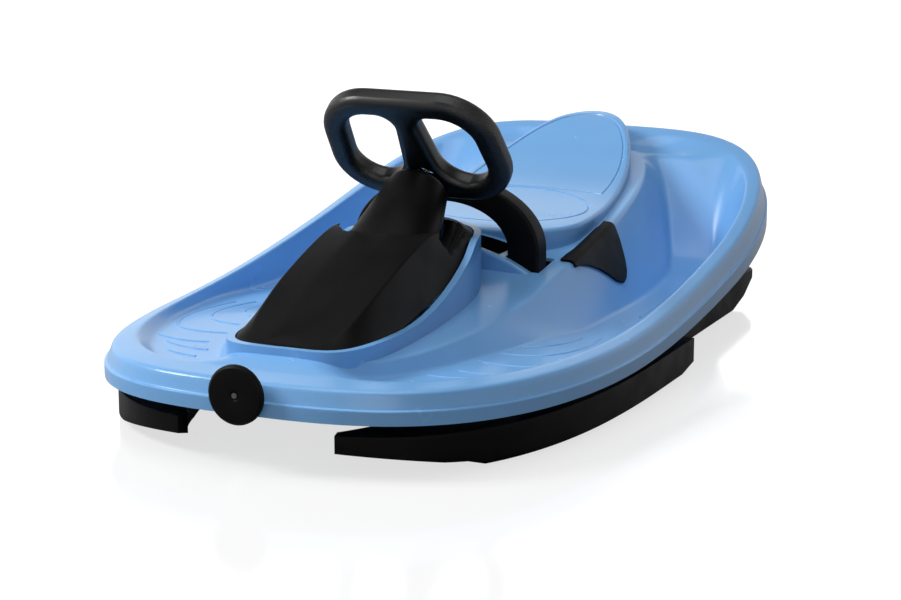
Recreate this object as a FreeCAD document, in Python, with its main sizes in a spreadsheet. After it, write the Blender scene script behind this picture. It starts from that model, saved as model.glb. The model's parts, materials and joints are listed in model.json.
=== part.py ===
"""Steering sled: moulded hull, steered front skis, brake bail and pull knob, in millimetres.

+Z is up and the nose points along -Y. The soles stand on z = 0.
"""
import FreeCAD, Part
import math
import os
from FreeCAD import Placement, Rotation, Vector

X_AXIS = Vector(1, 0, 0)
Y_AXIS = Vector(0, 1, 0)
Z_AXIS = Vector(0, 0, 1)
SIDES = {"left": 1, "right": -1}

# Stations along each free form, and how closely they crowd at its ends
HULL_STATIONS = 40
COVER_STATIONS = 26
OVAL_STATIONS = 16
END_CROWDING = 0.6
# Lengthwise line of the hull's net that runs along the ledge's edge
LEDGE_LINE = 20
GRIP_POINTS = 10
GRIP_STATIONS = 12
# Turn in degrees over which the footwells open at the nose and close at the stern
WELL_OPENS = (7, 30)
WELL_CLOSES = (164, 176)
DECK_FADES = (12, 36)

SIZES = {
    # Height that clears the whole sled
    "tall": 400,
    # Hull outline and rim
    "hull_front": -546, "hull_rear": 554, "hull_half_width": 310,
    "outline_front_power": 2.9, "outline_rear_power": 4.0, "hull_wall": 4,
    "sheer_low_y": -190, "rim_low": 85, "rim_front": 97, "rim_rear": 222,
    "skirt_low": 51, "skirt_front": 62, "skirt_rear": 160,
    "skirt_step": 3, "skirt_step_share": 0.45, "rim_outer_inset": 9,
    "rim_width_side": 27, "rim_width_front": 47, "rim_width_rear": 30, "rim_crown": 5,
    # Footwells and tunnel
    "floor_height": 60, "floor_front_height": 82, "floor_crest_height": 72, "floor_crest_y": -80,
    "floor_step": 26,
    "floor_half_width": 284, "floor_front": -490, "floor_rear": 512,
    "floor_end_y": 372, "floor_end_slope": 1.5, "floor_end_rise": 135,
    "tunnel_foot_half_width": 196, "tunnel_foot_front": -480, "tunnel_foot_rear": 500,
    "ledge_half_width": 153, "ledge_front": -462, "ledge_rear": 492,
    "ledge_base": 97, "ledge_slope": 0.15, "ledge_bend_y": -200, "ledge_softness": 60,
    "deck_front": 107, "deck_rear": 212,
    # Seat
    "seat_half_width": 132, "seat_front": 28, "seat_rear": 506, "seat_widest_y": 125,
    "seat_height": 166, "seat_bend_y": 262, "seat_top": 247, "seat_wall": 6, "seat_edge": 5,
    "seat_depth": 34,
    # Cover and the pedestal that it sits in
    "cover_half_width": 86, "cover_front": -452, "cover_rear": -36, "cover_widest_y": -205,
    "cover_wall": 3, "cover_front_edge": 113, "cover_rear_edge": 179, "cover_crown_y": -215,
    "edge_bend_y": -344, "edge_top_y": -125, "cover_front_crown": 117, "cover_crown": 206,
    "cover_rear_crown": 192, "crease_share": 0.76, "crease_drop": 4,
    "lip_width": 9, "lip_rise": 2.5, "cover_gap": 0.4, "shelf_width": 7, "shelf_gap": 4.6,
    # Steering column
    "column_angle": 38, "column_y": -87, "column_z": 243, "shaft_radius": 8, "running_gap": 0.05,
    "shaft_top": 4, "shaft_bottom": -262, "tube_radius": 18, "tube_top": -134, "tube_bottom": -234,
    "bush_radius": 12, "bush_length": 22, "bush_flange_radius": 15, "bush_flange": 3, "fit_gap": 0.05,
    "collar_radius": 14, "collar_length": 10, "seat_gap": 0.3, "fairing_bottom": -142, "fairing_top": -12,
    "fairing_half_width": 65, "fairing_half_depth": 43, "fairing_top_radius": 36, "fairing_wall": 3,
    "fairing_edge": 12, "fairing_plate": 15, "cover_hole_half_width": 74, "cover_hole_half_depth": 55,
    "crank_length": 29.2, "crank_hub_radius": 15, "crank_room": 3,
    "crank_hub_length": 20, "crank_rod_radius": 3.5,
    "ball_radius": 8, "fork_gap": 0.6,
    # Steering wheel
    "wheel_half_width": 121, "wheel_half_height": 84, "wheel_tube": 14.5, "wheel_centre_up": 47.5,
    "wheel_centre_out": 12, "wheel_top_corner": 54, "wheel_foot_corner": 48, "wheel_taper": 10,
    "spoke_width": 27, "spoke_foot": 56, "spoke_flare": 0.45, "spoke_depth": 17,
    "hub_radius": 22, "hub_top": 23,
    "bolt_radius": 4, "bolt_head_radius": 8, "bolt_head": 5, "bolt_reach": 20,
    # Front skis
    "ski_half_width": 302, "ski_front": -522, "ski_inner_half_width": 206, "ski_inner_front": -560,
    "ski_rear": 56, "ski_tip_x": 96, "ski_inner_tip_x": 92, "ski_height": 42, "ski_tip_bottom": 24,
    "ski_rise_y": -400, "ski_tail_bottom": 14, "ski_tail_rise": 40,
    "sole_height": 5, "sole_inset": 7, "sole_front": -424, "sole_rear": 20,
    "kingpin_x": 225, "kingpin_y": -260, "kingpin_radius": 5, "kingpin_head_radius": 9,
    "kingpin_head": 5, "kingpin_head_z": 8, "kingpin_top": 67, "boss_radius": 19, "boss_bottom": 45.5,
    "insert_radius": 9, "insert_bottom": 48, "insert_top": 68.5, "washer_radius": 17, "washer": 1.5,
    "ski_bush_radius": 9, "ski_hub_radius": 18, "ski_arm": 70, "arm_boss_radius": 12,
    "arm_boss_top": 48, "boss_sink": 2,
    "tie_pin_radius": 4, "tie_pin_depth": 28, "tie_pin_head_radius": 7, "tie_pin_head": 2.5,
    "tie_bar_height": 5, "tie_bar_width": 20, "open_pivot_gap": 0.3,
    "fork_height": 19, "fork_wall": 5, "fork_depth": 24,
    # Rear runners
    "runner_x": 221, "runner_edge": 5, "runner_width": 54, "runner_front": 130, "runner_rear": 468,
    "runner_flat_front": 165,
    "runner_flat_rear": 385, "runner_front_lift": 30, "runner_rear_lift": 30, "runner_top_rear": 330,
    "runner_tail_height": 46, "runner_screw_head_z": 12,
    # Brake
    "brake_y": -11, "brake_z": 106, "brake_axle_radius": 5, "brake_half_span": 118,
    "bail_half_width": 126, "bail_inner_half_width": 84, "bail_top": 235, "bail_inner_top": 204,
    "bail_spring_z": 150, "bail_front": -26, "bail_depth": 30, "bail_foot": 92, "bail_edge": 4,
    "slot_gap": 1.5, "slot_swing": 21,
    "hump_half_width": 128, "hump_foot": 118, "hump_top": 157, "hump_front": -38, "hump_rear": 34,
    "hump_edge": 5, "pocket_half_width": 76, "pocket_front": -31, "pocket_rear": 22, "pocket_floor": 4.5,
    "claw_x": 40, "claw_thick": 8, "claw_back": 85, "claw_down": 90, "claw_width": 18, "claw_tip_width": 7,
    "claw_hub_radius": 12,
    "block_x": 62, "block_width": 12, "block_half_depth": 18, "block_bottom": 92, "block_top": 120,
    "pad_top": 125, "clip_radius": 8, "clip_thick": 2,
    "spring_radius": 8, "spring_length": 24, "spring_x": 8,
    # Pull knob and reel
    "knob_z": 86, "knob_radius": 33, "knob_thick": 9, "knob_stem_radius": 3.6, "knob_stem": 74,
    "knob_gap": 1, "knob_face_y": -549, "mark_radius": 3, "mark_height": 1,
    "guide_radius": 6, "guide_rear": -508,
    "reel_y": -424, "reel_bottom": 64, "reel_radius": 34, "reel_wall": 3, "reel_height": 26,
    "drum_radius": 20, "drum_flange_radius": 28, "drum_flange": 3, "drum_gap": 0.3, "spindle_radius": 5,
    "lid_height": 3, "post_x": 40, "post_radius": 6, "post_top": 108,
    # Fasteners
    "screw_radius": 2, "screw_head_radius": 4, "screw_head": 2.5, "sole_screw_head_z": 0.8,
    "sole_screw_top": 18, "reel_screw_reach": 8,
    # Grip shields
    "grip_front": 20, "grip_rear": 168, "grip_tip_share": 0.66, "grip_tip_z": 84, "grip_lap": 6,
    "grip_inner_x": 137, "grip_thick": 3, "grip_gap": 0.5,
}


def make_sheet(doc):
    """Keep every driving dimension in one sheet, under its own name."""
    sheet = doc.addObject("Spreadsheet::Sheet", "Sizes")
    for row, (name, value) in enumerate(SIZES.items(), start=1):
        sheet.set(f"A{row}", name)
        sheet.set(f"B{row}", str(value))
        sheet.setAlias(f"B{row}", name)
    doc.recompute()
    return sheet


class Dimensions:
    """The sheet's values as plain attributes."""

    def __init__(self, sheet):
        for name in SIZES:
            setattr(self, name, float(sheet.get(name)))


doc = FreeCAD.newDocument("SteeringSled")
sheet = make_sheet(doc)
d = Dimensions(sheet)
pieces = []


def cell(name):
    return f"Sizes.{name}"


def keep(obj, label):
    """Register an object as a sub-part under its label."""
    obj.Label = label
    pieces.append(obj)
    return obj


def feature(label, shape, placement=Placement()):
    """A sub-part whose free form is set from shapes worked out here."""
    obj = doc.addObject("Part::Feature", label)
    obj.Shape = shape
    obj.Placement = placement
    return keep(obj, label)


def turned(axis):
    """The turn that takes +Z to an axis."""
    return Rotation(Z_AXIS, axis)


def plain_cylinder(radius, start, axis, length):
    return Part.makeCylinder(radius, length, start, axis)


def bound_cylinder(name, radius, height, base, axis=Z_AXIS):
    """A cylinder whose radius and height are bound to the sheet."""
    obj = doc.addObject("Part::Cylinder", name)
    obj.setExpression("Radius", radius)
    obj.setExpression("Height", height)
    obj.Placement = Placement(base, turned(axis))
    return obj


def cut(label, base, tool):
    obj = doc.addObject("Part::Cut", label)
    obj.Base = base
    obj.Tool = tool
    return keep(obj, label)


def tube(label, outer, inner, height, base, axis=Z_AXIS):
    """A round tube, bound to the sheet."""
    body = bound_cylinder(label + "_body", outer, height, base, axis)
    bore = bound_cylinder(label + "_bore", inner, height, base, axis)
    return cut(label, body, bore)


def origin_plane(body, role):
    return next(f for f in body.Origin.OriginFeatures if f.Role == role)


def sketched(label, geometry, role="XY_Plane"):
    """A body with one sketch on an origin plane."""
    body = doc.addObject("PartDesign::Body", label)
    sketch = body.newObject("Sketcher::SketchObject", label + "_sketch")
    sketch.AttachmentSupport = [(origin_plane(body, role), "")]
    sketch.MapMode = "FlatFace"
    sketch.addGeometry(geometry)
    return body, sketch


def revolved(label, profile, placement=Placement()):
    """A body turned about its own Z from (radius, height) points."""
    corners = [Vector(r, h, 0) for r, h in profile]
    body, sketch = sketched(label, closed_lines(corners), "XZ_Plane")
    turn = body.newObject("PartDesign::Revolution", label + "_turn")
    turn.Profile = sketch
    turn.ReferenceAxis = (sketch, ["V_Axis"])
    turn.Angle = 360
    body.Placement = placement
    return keep(body, label)


def closed_lines(corners):
    return [Part.LineSegment(a, b) for a, b in zip(corners, corners[1:] + corners[:1])]


def polygon_prism(corners, direction):
    """A straight-edged outline swept along a vector."""
    wire = Part.makePolygon(corners + corners[:1])
    return Part.Face(wire).extrude(direction)


def rounded_outline(corners, radii):
    """A closed wire through corners in one plane, each rounded by its radius."""
    edges = []
    joints = []
    count = len(corners)
    for i, (corner, radius) in enumerate(zip(corners, radii)):
        back = (corners[i - 1] - corner).normalize()
        ahead = (corners[(i + 1) % count] - corner).normalize()
        half_turn = back.getAngle(ahead) / 2
        reach = radius / math.tan(half_turn)
        middle = (back + ahead).normalize() * (radius / math.sin(half_turn) - radius)
        joints.append((corner + back * reach, corner + middle, corner + ahead * reach))
    for i, (start, middle, end) in enumerate(joints):
        edges.append(Part.Arc(start, middle, end).toShape())
        edges.append(Part.LineSegment(end, joints[(i + 1) % count][0]).toShape())
    return Part.Wire(edges)


def smooth_step(low, high, value):
    share = min(max((value - low) / (high - low), 0), 1)
    return share * share * (3 - 2 * share)


def mix(first, second, share):
    return first + (second - first) * share


def superellipse(angle, half, front, rear, widest, front_power, rear_power):
    """A point of a blunt oval; angle 0 is the front and pi the rear."""
    forward = math.cos(angle)
    power = front_power if forward > 0 else rear_power
    x = half * math.sin(angle) ** (2 / power)
    reach = abs(forward) ** (2 / power)
    y = widest - (widest - front) * reach if forward > 0 else widest + (rear - widest) * reach
    return x, y


def station_angles(count):
    """Angles from front to rear, closer together at both ends."""
    shares = [i / count for i in range(count + 1)]
    angles = [math.pi * (s - END_CROWDING * math.sin(2 * math.pi * s) / (2 * math.pi)) for s in shares]
    return [0] + angles[1:-1] + [math.pi]


def rounded_section(corners):
    """Control points of a section whose inner corners are softened by their own reach."""
    points = [corners[0][0]]
    for i in range(1, len(corners) - 1):
        corner, reach = corners[i]
        for other in (corners[i - 1][0], None, corners[i + 1][0]):
            if other is None:
                points.append(corner)
                continue
            run = other - corner
            points.append(corner + run * min(reach / max(run.Length, 0.01), 0.42))
    points.append(corners[-1][0])
    return points


def clamped_knots(count, degree):
    knots = [float(i) for i in range(count - degree + 1)]
    multiplicities = [degree + 1] + [1] * (len(knots) - 2) + [degree + 1]
    return knots, multiplicities


def net_surface(net):
    """A smooth surface over a net of control points, softer along the rows."""
    u_knots, u_mults = clamped_knots(len(net), 3)
    v_knots, v_mults = clamped_knots(len(net[0]), 2)
    surface = Part.BSplineSurface()
    surface.buildFromPolesMultsKnots(net, u_mults, v_mults, u_knots, v_knots, False, False, 3, 2)
    return surface


def inner_net(net, wall):
    """The same net moved inwards by a wall thickness, kept on the middle plane at its ends."""
    rows, columns = len(net), len(net[0])
    moved = []
    for i in range(rows):
        row = []
        for j in range(columns):
            along = net[min(i + 1, rows - 1)][j] - net[max(i - 1, 0)][j]
            across = net[i][min(j + 1, columns - 1)] - net[i][max(j - 1, 0)]
            normal = along.cross(across)
            level = normal.Length < 1e-6 or (i in (0, rows - 1) and j == columns - 1)
            point = net[i][j] - (Z_AXIS if level else normal.normalize()) * wall
            if i in (0, rows - 1) or j == columns - 1:
                point.x = 0
            row.append(point)
        moved.append(row)
    return moved


def closed_solid(faces):
    """A solid from the faces that close it, right side out."""
    skin = Part.Compound(faces)
    skin.sewShape()
    solid = Part.Solid(skin.Shells[0])
    if solid.Volume < 0:
        solid.reverse()
    return solid


def shell_solid(net, wall):
    """A closed shell from one half net, mirrored across the middle plane."""
    outer = net_surface(net)
    inner = net_surface(inner_net(net, wall))
    edge = Part.makeRuledSurface(outer.vIso(0).toShape(), inner.vIso(0).toShape())
    half = [outer.toShape(), inner.toShape(), edge]
    mirrored = [face.mirror(Vector(), X_AXIS) for face in half]
    return closed_solid(half + mirrored)


def parabola(y, low_value, front_value, rear_value):
    """A height along the hull that is lowest at the sheer's low point."""
    if y < d.sheer_low_y:
        share = (d.sheer_low_y - y) / (d.sheer_low_y - d.hull_front)
        return mix(low_value, front_value, share * share)
    share = (y - d.sheer_low_y) / (d.hull_rear - d.sheer_low_y)
    return mix(low_value, rear_value, share * share)


def ledge_height(y):
    """The ledge is level at the nose and then climbs steadily to the rear."""
    climb = d.ledge_softness * math.log1p(math.exp((y - d.ledge_bend_y) / d.ledge_softness))
    return d.ledge_base + d.ledge_slope * climb


def floor_height(y):
    """The foot rest slopes down to a crest, steps down behind it and ramps up at the rear."""
    share = (d.floor_crest_y - y) / (d.floor_crest_y - d.floor_front)
    rest = mix(d.floor_crest_height, d.floor_front_height, max(share, 0))
    level = mix(rest, d.floor_height, smooth_step(d.floor_crest_y, d.floor_crest_y + d.floor_step, y))
    return level + min(max(y - d.floor_end_y, 0) * d.floor_end_slope, d.floor_end_rise)


def hull_ring(angle, side_inset=0, front_inset=0, rear_inset=0):
    return superellipse(angle, d.hull_half_width - side_inset, d.hull_front + front_inset,
                        d.hull_rear - rear_inset, 0, d.outline_front_power, d.outline_rear_power)


def footwell_share(angle):
    """1 beside the tunnel, fading to 0 at the nose and at the stern."""
    turn = math.degrees(angle)
    return smooth_step(*WELL_OPENS, turn) * (1 - smooth_step(*WELL_CLOSES, turn))


def hull_section(angle):
    """The hull's skin from the skirt's lower edge, over the rim, to the middle plane."""
    well = footwell_share(angle)
    stern = smooth_step(math.pi / 2, math.pi, angle)
    deck = mix(d.deck_front, d.deck_rear, stern)

    x, y = hull_ring(angle)
    low = parabola(y, d.skirt_low, d.skirt_front, d.skirt_rear)
    top = parabola(y, d.rim_low, d.rim_front, d.rim_rear)
    step = low + (top - low) * d.skirt_step_share
    xs, ys = hull_ring(angle, d.skirt_step, d.skirt_step, d.skirt_step)
    xo, yo = hull_ring(angle, d.rim_outer_inset, d.rim_outer_inset, d.rim_outer_inset)
    xi, yi = hull_ring(angle, d.rim_width_side, d.rim_width_front, d.rim_width_rear)
    rim_inner = parabola(yi, d.rim_low, d.rim_front, d.rim_rear) + d.rim_crown
    xf, yf = superellipse(angle, d.floor_half_width, d.floor_front, d.floor_rear, 0, 2.5, 2.5)
    xt, yt = superellipse(angle, d.tunnel_foot_half_width, d.tunnel_foot_front, d.tunnel_foot_rear,
                          110, 2.2, 2.4)
    xl, yl = superellipse(angle, d.ledge_half_width, d.ledge_front, d.ledge_rear, 0, 2.6, 2.6)
    nearness = smooth_step(*DECK_FADES, math.degrees(angle))
    spine_y = mix(d.ledge_front + 45, d.ledge_rear - 45, (1 - math.cos(angle)) / 2)
    spine = mix(deck, ledge_height(spine_y), nearness) + 3
    rim = Vector(xi, yi, rim_inner)
    ledge = Vector(xl, yl, mix(deck, ledge_height(yl), nearness))
    floor_outer = Vector(xf, yf, floor_height(yf))
    floor_inner = Vector(xt, yt, floor_height(yt))
    return rounded_section([
        (Vector(x, y, low), 0),
        (Vector(x, y, step), 2.5),
        (Vector(xs, ys, step + 1), 2.5),
        (Vector(xo, yo, top), 11),
        (rim, 9),
        (mix(mix(rim, ledge, 1 / 3), floor_outer, well), 20),
        (mix(mix(rim, ledge, 2 / 3), floor_inner, well), 14),
        (ledge, 10),
        (Vector(xl * 0.25, mix(yl, spine_y, 0.75), spine), 12),
        (Vector(0, spine_y, spine), 0),
    ])


def hull_net():
    net = [hull_section(angle) for angle in station_angles(HULL_STATIONS)]
    for row in (net[0], net[-1]):
        for point in row:
            point.x = 0
    return net


def oval_points(count, *ring):
    """Points of a closed oval, once round."""
    half = [superellipse(angle, *ring) for angle in station_angles(count)]
    right = [Vector(x, y, 0) for x, y in half]
    left = [Vector(-x, y, 0) for x, y in reversed(half[1:-1])]
    return right + left


def oval_prism(ring, bottom, top, grow=0):
    """An upright prism over an oval that may be grown by an offset."""
    half, front, rear, widest, front_power, rear_power = ring
    points = oval_points(OVAL_STATIONS, half + grow, front - grow, rear + grow, widest, front_power, rear_power)
    curve = Part.BSplineCurve()
    curve.interpolate([p + Z_AXIS * bottom for p in points], True)
    return Part.Face(Part.Wire(curve.toShape())).extrude(Z_AXIS * (top - bottom))


def profile_band(points, depth):
    """A band across the whole hull, under a side profile and down by a depth."""
    width = d.hull_half_width
    curve = Part.BSplineCurve()
    curve.interpolate([Vector(-width, y, z) for y, z in points])
    first, last = curve.StartPoint, curve.EndPoint
    lower = [Vector(-width, y, z - depth) for y, z in reversed(points)]
    low_curve = Part.BSplineCurve()
    low_curve.interpolate(lower)
    sides = [Part.LineSegment(last, lower[0]).toShape(), Part.LineSegment(lower[-1], first).toShape()]
    wire = Part.Wire([curve.toShape(), sides[0], low_curve.toShape(), sides[1]])
    return Part.Face(wire).extrude(X_AXIS * 2 * width)


def seat_ring():
    return (d.seat_half_width, d.seat_front, d.seat_rear, d.seat_widest_y, 2.6, 1.9)


def seat_profile(drop=0):
    """The seat's top line: level cushion, then a long climb to the back rest."""
    margin = 40
    slope = (d.seat_top - d.seat_height) / (d.seat_rear - d.seat_bend_y)
    points = [
        (d.seat_front - margin, d.seat_height - 6),
        (mix(d.seat_front, d.seat_bend_y, 0.4), d.seat_height - 1),
        (d.seat_bend_y - margin, d.seat_height + 5),
        (d.seat_bend_y + margin, d.seat_height + slope * margin + 5),
        (mix(d.seat_bend_y, d.seat_rear, 0.6), mix(d.seat_height, d.seat_top, 0.6) + 2),
        (d.seat_rear - 30, d.seat_top - 6),
        (d.seat_rear + margin, d.seat_top - 2),
    ]
    return [(y, z - drop) for y, z in points]


def seat_solids():
    """The raised seat and the hollow under it."""
    outer = oval_prism(seat_ring(), 0, d.tall).common(profile_band(seat_profile(), d.seat_depth))
    top_edges = [e for e in outer.Edges
                 if e.BoundBox.ZMax > d.seat_top - 30 and e.BoundBox.ZMin > d.seat_height - 12]
    outer = outer.makeFillet(d.seat_edge, top_edges)
    inner = oval_prism(seat_ring(), 0, d.tall, -d.seat_wall)
    hollow = inner.common(profile_band(seat_profile(d.seat_wall), d.seat_depth * 3))
    return outer, hollow


def cover_ring():
    return (d.cover_half_width, d.cover_front, d.cover_rear, d.cover_widest_y, 5, 2.3)


def cover_edge(y):
    """The cover's lower edge runs level from the nose and then climbs beside the column."""
    share = (y - d.edge_bend_y) / (d.edge_top_y - d.edge_bend_y)
    return mix(d.cover_front_edge, d.cover_rear_edge, min(max(share, 0), 1) ** 2)


def cover_crown(y):
    """The cover's flat top: a nearly straight climb, then level round the column."""
    if y < d.cover_crown_y:
        share = (y - d.cover_front) / (d.cover_crown_y - d.cover_front)
        bow = math.sin(share * math.pi / 2) - share
        return mix(d.cover_front_crown, d.cover_crown, share + 0.3 * bow)
    return mix(d.cover_crown, d.cover_rear_crown, smooth_step(d.cover_crown_y, d.cover_rear, y))


def cover_section(angle):
    """The cover's skin from its lower edge, over a crease, to the middle plane."""
    x, y = superellipse(angle, *cover_ring())
    spine_y = mix(d.cover_front + 22, d.cover_rear - 30, (1 - math.cos(angle)) / 2)
    edge = cover_edge(y)
    crease_y = mix(y, spine_y, 1 - d.crease_share)
    inner_y = mix(y, spine_y, 0.75)
    return rounded_section([
        (Vector(x, y, edge), 0),
        (Vector(x * 0.99, mix(y, spine_y, 0.01), edge + 2), 2),
        (Vector(x * d.crease_share, crease_y, cover_crown(crease_y) - d.crease_drop), 5),
        (Vector(x * 0.25, inner_y, cover_crown(inner_y)), 10),
        (Vector(0, spine_y, cover_crown(spine_y)), 0),
    ])


def edge_profile(rise):
    """Points of the cover's edge line in side view, moved up by a rise."""
    span = d.cover_rear - d.cover_front
    stations = [d.cover_front - 40 + (span + 80) * i / COVER_STATIONS for i in range(COVER_STATIONS + 1)]
    return [(y, cover_edge(y) + rise) for y in stations]


def pedestal_solid():
    """The raised lip round the cover, with the shelf that the cover's edge rests on."""
    depth = d.cover_rear_edge - d.ledge_base
    band = profile_band(edge_profile(d.lip_rise), depth)
    outer = oval_prism(cover_ring(), 0, d.tall, d.lip_width).common(band)
    core = oval_prism(cover_ring(), 0, d.tall, -d.shelf_width)
    seat = oval_prism(cover_ring(), 0, d.tall, d.cover_gap).common(
        profile_band(edge_profile(4 * d.lip_rise), 4 * d.lip_rise + d.shelf_gap))
    lip = outer.cut(core).cut(seat)
    below = Part.makeBox(2 * d.hull_half_width, d.hull_rear - d.hull_front, d.ledge_base - 3,
                         Vector(-d.hull_half_width, d.hull_front, 0))
    return lip.cut(below)


def ledge_wedge(half_width, front, rear, rise):
    """All that lies a rise above the ledge, across a width and between two stations."""
    corners = [(front, ledge_height(front) + rise), (rear, ledge_height(rear) + rise), (rear, d.bail_top),
               (front, d.bail_top)]
    return polygon_prism([Vector(-half_width, y, z) for y, z in corners], X_AXIS * 2 * half_width)


def hump_solid():
    """The low ridge across the ledge that the bail's legs rise from."""
    ends = [Vector(side * d.hump_half_width, d.hump_front, d.hump_foot) for side in (1, -1)]
    arc = Part.Arc(ends[0], Vector(0, d.hump_front, d.hump_top), ends[1]).toShape()
    chord = Part.LineSegment(ends[1], ends[0]).toShape()
    ridge = Part.Face(Part.Wire([arc, chord])).extrude(Y_AXIS * (d.hump_rear - d.hump_front))
    rims = [e for e in ridge.Edges if isinstance(e.Curve, Part.Circle)]
    ridge = ridge.makeFillet(d.hump_edge, rims)
    return ridge.common(ledge_wedge(d.hump_half_width, d.hump_front, d.hump_rear, -0.5))


def column_axis():
    angle = math.radians(d.column_angle)
    return Vector(0, math.cos(angle), math.sin(angle))


def column_point(along):
    return Vector(0, d.column_y, d.column_z) + column_axis() * along


def column_placement(along):
    """A frame on the column: Z along it, X across the sled."""
    return Placement(column_point(along), Rotation(X_AXIS, -(90 - d.column_angle)))


def kingpin_point(side, z):
    return Vector(side * d.kingpin_x, d.kingpin_y, z)


def ski_pin_point(side, z):
    return Vector(side * d.kingpin_x, d.kingpin_y + d.ski_arm, z)


def added_to_hull():
    """What the moulding carries on its skin: seat, lip, column tube, bosses, pads and posts."""
    seat, hollow = seat_solids()
    column = plain_cylinder(d.tube_radius, column_point(d.tube_bottom), column_axis(),
                            d.tube_top - d.tube_bottom)
    added = [seat, pedestal_solid(), column, hump_solid()]
    boss_top = floor_height(d.kingpin_y) - d.hull_wall / 2
    reel_top = d.reel_bottom + d.reel_height + d.lid_height + d.seat_gap
    for side in SIDES.values():
        added.append(plain_cylinder(d.boss_radius, kingpin_point(side, d.boss_bottom), Z_AXIS,
                                    boss_top - d.boss_bottom))
        added.append(block_box(side, d.block_top, d.pad_top))
        added.append(plain_cylinder(d.post_radius, Vector(side * d.post_x, d.reel_y, reel_top), Z_AXIS,
                                    d.post_top - reel_top))
    return added, hollow


def hull_shape():
    """The hull skin with all that it carries, then its bores and slots."""
    added, hollow = added_to_hull()
    shape = shell_solid(hull_net(), d.hull_wall)
    for solid in added:
        shape = shape.fuse(solid)
    bore = d.bush_radius + d.fit_gap
    removed = [
        hollow,
        ledge_wedge(d.pocket_half_width, d.pocket_front, d.pocket_rear, d.pocket_floor),
        plain_cylinder(bore, column_point(d.tube_bottom - 1), column_axis(),
                       d.tube_top - d.tube_bottom + 30),
        plain_cylinder(d.crank_hub_radius + d.crank_room, column_point(d.shaft_bottom - d.crank_room),
                       column_axis(), d.tube_bottom - d.shaft_bottom + d.crank_room),
        plain_cylinder(d.guide_radius + d.fit_gap, Vector(0, d.knob_face_y - 1, d.knob_z), Y_AXIS,
                       d.guide_rear - d.knob_face_y + 2),
    ]
    for side in SIDES.values():
        start = kingpin_point(side, d.boss_bottom - 1)
        removed.append(plain_cylinder(d.insert_radius + d.fit_gap, start, Z_AXIS, d.insert_top - start.z))
        removed.append(bail_slot(side))
    removed += screw_holes(runner_screw_points()) + screw_holes(block_screw_points())
    removed += screw_holes(reel_screw_points())
    for solid in removed:
        shape = shape.cut(solid)
    return shape


def bail_slot(side):
    """The slot in the ledge that a leg of the bail swings in."""
    width = d.bail_half_width - d.bail_inner_half_width + 2 * d.slot_gap
    low_x = d.bail_inner_half_width - d.slot_gap if side > 0 else -d.bail_half_width - d.slot_gap
    depth = d.bail_depth + 2 * d.slot_gap + d.slot_swing
    corner = Vector(low_x, d.bail_front - d.slot_gap, d.brake_z)
    return Part.makeBox(width, depth, d.bail_top - d.brake_z, corner)


def block_box(side, bottom, top):
    """A box over the place of one axle block."""
    low_x = d.block_x if side > 0 else -d.block_x - d.block_width
    corner = Vector(low_x, d.brake_y - d.block_half_depth, bottom)
    return Part.makeBox(d.block_width, 2 * d.block_half_depth, top - bottom, corner)


def screw(point, length):
    """An upright screw whose head hangs below a point."""
    head = plain_cylinder(d.screw_head_radius, point - Z_AXIS * d.screw_head, Z_AXIS, d.screw_head)
    return head.fuse(plain_cylinder(d.screw_radius, point, Z_AXIS, length))


def screw_holes(places):
    """Clearance holes for a set of screws given as (head seat, length)."""
    radius = d.screw_radius + d.fit_gap
    return [plain_cylinder(radius, point, Z_AXIS, length + d.fit_gap) for point, length in places]


def screw_group(label, places):
    feature(label, Part.makeCompound([screw(point, length) for point, length in places]))


def runner_screw_points():
    seat_z = d.runner_screw_head_z + d.screw_head
    length = d.floor_height - d.hull_wall / 4 - seat_z
    stations = [mix(d.runner_flat_front, d.runner_top_rear, share) for share in (0.15, 0.85)]
    return [(Vector(side * d.runner_x, y, seat_z), length) for side in SIDES.values() for y in stations]


def block_screw_points():
    length = d.pad_top - d.hull_wall / 4 - d.block_bottom
    offset = (d.brake_axle_radius + d.block_half_depth) / 2
    middle = d.block_x + d.block_width / 2
    return [(Vector(side * middle, d.brake_y + way * offset, d.block_bottom), length)
            for side in SIDES.values() for way in (-1, 1)]


def reel_screw_points():
    seat_z = d.reel_bottom + d.reel_height
    return [(Vector(side * d.post_x, d.reel_y, seat_z), d.lid_height + d.reel_screw_reach)
            for side in SIDES.values()]


def make_cover():
    """The cover, open round the fairing."""
    net = [cover_section(angle) for angle in station_angles(COVER_STATIONS)]
    for row in (net[0], net[-1]):
        for point in row:
            point.x = 0
    shell = shell_solid(net, d.cover_wall)
    hole = ellipse_wire(d.cover_hole_half_width, d.cover_hole_half_depth)
    hole.Placement = column_placement(d.fairing_bottom - 40)
    feature("console_cover", shell.cut(Part.Face(hole).extrude(column_axis() * 160)))


def ellipse_wire(half_width, half_depth):
    """An oval in its own XY plane, wider across the sled or deeper along it."""
    long_axis = max(half_width, half_depth)
    oval = Part.Ellipse(Vector(), long_axis, min(half_width, half_depth))
    wire = Part.Wire(oval.toShape())
    if half_depth > half_width:
        wire.rotate(Vector(), Z_AXIS, 90)
    return wire


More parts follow.
